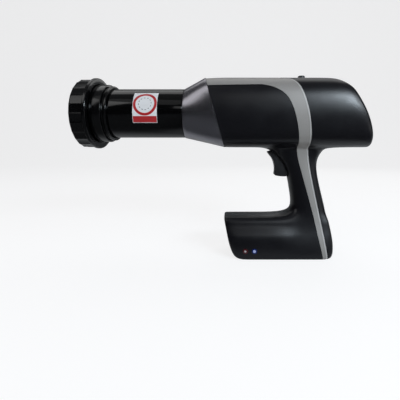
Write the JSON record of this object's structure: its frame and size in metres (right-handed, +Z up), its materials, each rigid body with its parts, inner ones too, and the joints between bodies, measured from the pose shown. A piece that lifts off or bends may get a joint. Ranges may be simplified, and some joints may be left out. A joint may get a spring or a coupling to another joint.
{
  "type": "portable dental x-ray unit",
  "caption": "Gun-shaped handheld dental x-ray generator with a long beam tube, turning lock ring, sprung trigger, rear control panel and a battery foot it stands on.",
  "frame": {"origin": "centre of the flat sole of the foot, in the plane it stands on", "axes": "+Z up, +X towards the operator, so the beam leaves along -X; -Y is the operator's left"},
  "size_m": [0.3819, 0.0954, 0.2417],
  "materials": {
    "gloss_black": "gloss black, lightly polished",
    "satin_black": "satin black moulding",
    "cone_grey": "dark grey metallic paint over a moulding",
    "band_grey": "light grey metallic paint over a moulding",
    "steel": "plain steel",
    "aluminium": "machined aluminium",
    "lead": null,
    "copper": null,
    "clear_glass": "clear",
    "circuit_green": "green circuit board",
    "switch_black": "moulded black",
    "cell_blue": "metal can in a blue shrink sleeve",
    "key_grey": "soft grey rubber",
    "display_dark": "dark display glass"
  },
  "bodies": {
    "unit": {"housing_left": "satin_black", "housing_right": "satin_black", "rear_cover": "satin_black", "trim_band": "band_grey", "nose_cone": "cone_grey", "beam_tube": "gloss_black", "front_collar": "gloss_black", "tube_adapter": "aluminium", "tube_liner": "lead", "collimator": "lead", "beam_filter": "aluminium", "generator_tank": "aluminium", "tank_lid": "aluminium", "port_window": "clear_glass", "xray_glass": "clear_glass", "anode_stem": "copper", "cathode_stem": "steel", "hv_transformer": "copper", "inverter_board": "circuit_green", "control_board": "circuit_green", "rear_panel": "satin_black", "display_lens": "clear_glass", "display_module": "display_dark", "display_board": "circuit_green", "power_switch": "switch_black", "trigger_pin": "steel", "trigger_spring": "steel", "trigger_switch": "switch_black", "switch_bracket": "steel", "battery_cover": "satin_black", "battery_tray": "switch_black", "battery_cell_1": "cell_blue", "battery_cell_2": "cell_blue", "battery_cell_3": "cell_blue", "battery_cell_4": "cell_blue", "charge_inlet": "steel"},
    "ring": {"lock_ring": "gloss_black"},
    "trigger": {"trigger": "satin_black"},
    "power": {"power_button": "satin_black"},
    "key_1": {"key_1": "key_grey"},
    "key_2": {"key_2": "key_grey"},
    "key_3": {"key_3": "key_grey"},
    "key_4": {"key_4": "key_grey"}
  },
  "joints": [
    {"name": "ring_turn", "type": "hinge", "parent": "unit", "child": "ring", "pos_m": [-0.2555, 0, 0.19], "axis": [1, 0, 0], "range_deg": [0, 30]},
    {"name": "trigger_pull", "type": "hinge", "parent": "unit", "child": "trigger", "pos_m": [0.002, 0, 0.1355], "axis": [0, -1, 0], "range_deg": [0, 7], "stiffness_Nm_per_rad": 0.6, "springref_deg": -5.73},
    {"name": "power_press", "type": "slide", "parent": "unit", "child": "power", "axis": [0, 0, -1], "range_m": [0, 0.0008], "stiffness_N_per_m": 1500, "springref_m": -0.0008},
    {"name": "key_1_press", "type": "slide", "parent": "unit", "child": "key_1", "axis": [-0.8746, 0, -0.4848], "range_m": [0, 0.0006], "stiffness_N_per_m": 1200, "springref_m": -0.0006},
    {"name": "key_2_press", "type": "slide", "parent": "unit", "child": "key_2", "axis": [-0.8746, 0, -0.4848], "range_m": [0, 0.0006], "stiffness_N_per_m": 1200, "springref_m": -0.0006},
    {"name": "key_3_press", "type": "slide", "parent": "unit", "child": "key_3", "axis": [-0.8746, 0, -0.4848], "range_m": [0, 0.0006], "stiffness_N_per_m": 1200, "springref_m": -0.0006},
    {"name": "key_4_press", "type": "slide", "parent": "unit", "child": "key_4", "axis": [-0.8746, 0, -0.4848], "range_m": [0, 0.0006], "stiffness_N_per_m": 1200, "springref_m": -0.0006}
  ]
}
